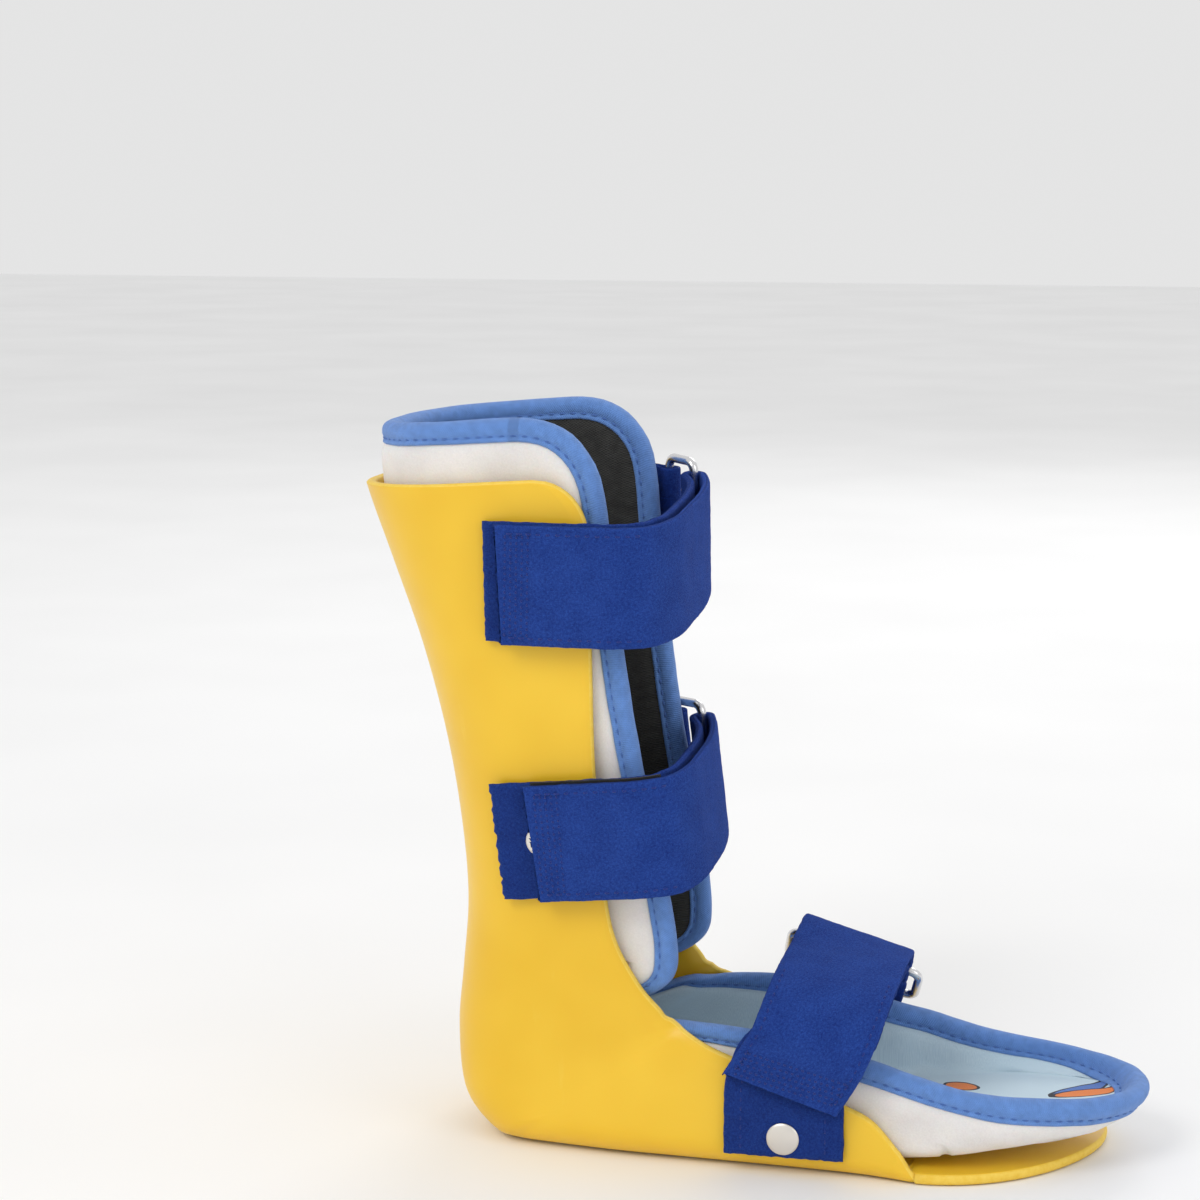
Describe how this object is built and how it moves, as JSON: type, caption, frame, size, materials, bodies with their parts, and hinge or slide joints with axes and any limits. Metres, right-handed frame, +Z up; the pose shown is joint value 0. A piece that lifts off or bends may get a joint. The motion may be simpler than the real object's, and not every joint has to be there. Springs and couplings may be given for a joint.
{
  "type": "ankle foot orthosis",
  "caption": "Child's rigid ankle foot orthosis: yellow plastic leg-and-foot shell, white foam pads with blue binding, felt straps that fold back through metal rings.",
  "frame": {"origin": "the flat underside of the sole, below the ankle, on the centre line of the heel", "axes": "+X towards the toes, +Z up the leg, +Y towards the inner (ring) side"},
  "size_m": [0.2526, 0.1036, 0.237],
  "materials": {
    "shell_plastic": "satin yellow polypropylene",
    "white_foam": "matt closed-cell foam",
    "dark_lining": "matt dark lining fabric",
    "printed_lining": null,
    "blue_binding": "light blue binding tape with a stitch line",
    "blue_strap": "royal blue brushed loop felt",
    "hook_tape": "black hook tape",
    "ring_wire": "bright plated wire",
    "nickel": "low domed plated rivet"
  },
  "bodies": {
    "root": {"shell": "shell_plastic", "calf_pad_foam": "white_foam", "calf_pad_lining": "dark_lining", "calf_pad_binding": "blue_binding", "foot_pad_foam": "white_foam", "foot_pad_lining": "printed_lining", "foot_pad_binding": "blue_binding", "calf_pad_upper_tape": "hook_tape", "calf_pad_lower_tape": "hook_tape", "foot_pad_tape": "hook_tape", "upper_strap_base": "blue_strap", "upper_strap_rivet": "nickel", "upper_ring": "ring_wire", "upper_ring_tab": "blue_strap", "upper_ring_rivet": "nickel", "middle_strap_base": "blue_strap", "middle_strap_rivet": "nickel", "middle_ring": "ring_wire", "middle_ring_tab": "blue_strap", "middle_ring_rivet": "nickel", "instep_strap_base": "blue_strap", "instep_strap_rivet": "nickel", "instep_ring": "ring_wire", "instep_ring_tab": "blue_strap", "instep_ring_rivet": "nickel"},
    "upper_tail": {"upper_strap_tail": "blue_strap"},
    "upper_tip": {"upper_strap_tip": "blue_strap", "upper_hook_patch": "hook_tape"},
    "middle_tail": {"middle_strap_tail": "blue_strap"},
    "middle_tip": {"middle_strap_tip": "blue_strap", "middle_hook_patch": "hook_tape"},
    "instep_tail": {"instep_strap_tail": "blue_strap"},
    "instep_tip": {"instep_strap_tip": "blue_strap", "instep_hook_patch": "hook_tape"}
  },
  "joints": [
    {"name": "upper_strap_open", "type": "hinge", "parent": "root", "child": "upper_tail", "pos_m": [0.04577, 0.03796, 0.19432], "axis": [0, -0.0872, 0.9962], "range_deg": [0, 100]},
    {"name": "upper_tip_unbend", "type": "hinge", "parent": "upper_tail", "child": "upper_tip", "pos_m": [0.04626, -0.04497, 0.18707], "axis": [0, -0.0872, 0.9962], "range_deg": [0, 70]},
    {"name": "middle_strap_open", "type": "hinge", "parent": "root", "child": "middle_tail", "pos_m": [0.05201, 0.03215, 0.11424], "axis": [-0.0993, -0.0781, 0.992], "range_deg": [0, 100]},
    {"name": "middle_tip_unbend", "type": "hinge", "parent": "middle_tail", "child": "middle_tip", "pos_m": [0.05554, -0.0347, 0.10933], "axis": [-0.0993, -0.0781, 0.992], "range_deg": [0, 70]},
    {"name": "instep_strap_open", "type": "hinge", "parent": "root", "child": "instep_tail", "pos_m": [0.09912, 0.03718, 0.05621], "axis": [-0.9613, 0, 0.2756], "range_deg": [0, 75]},
    {"name": "instep_tip_unbend", "type": "hinge", "parent": "instep_tail", "child": "instep_tip", "pos_m": [0.09944, -0.03566, 0.05732], "axis": [-0.9613, 0, 0.2756], "range_deg": [0, 52.5]}
  ],
  "couplings": [
    {"joint": "upper_tip_unbend", "follows": "upper_strap_open", "ratio": 0.7},
    {"joint": "middle_tip_unbend", "follows": "middle_strap_open", "ratio": 0.7},
    {"joint": "instep_tip_unbend", "follows": "instep_strap_open", "ratio": 0.7}
  ]
}
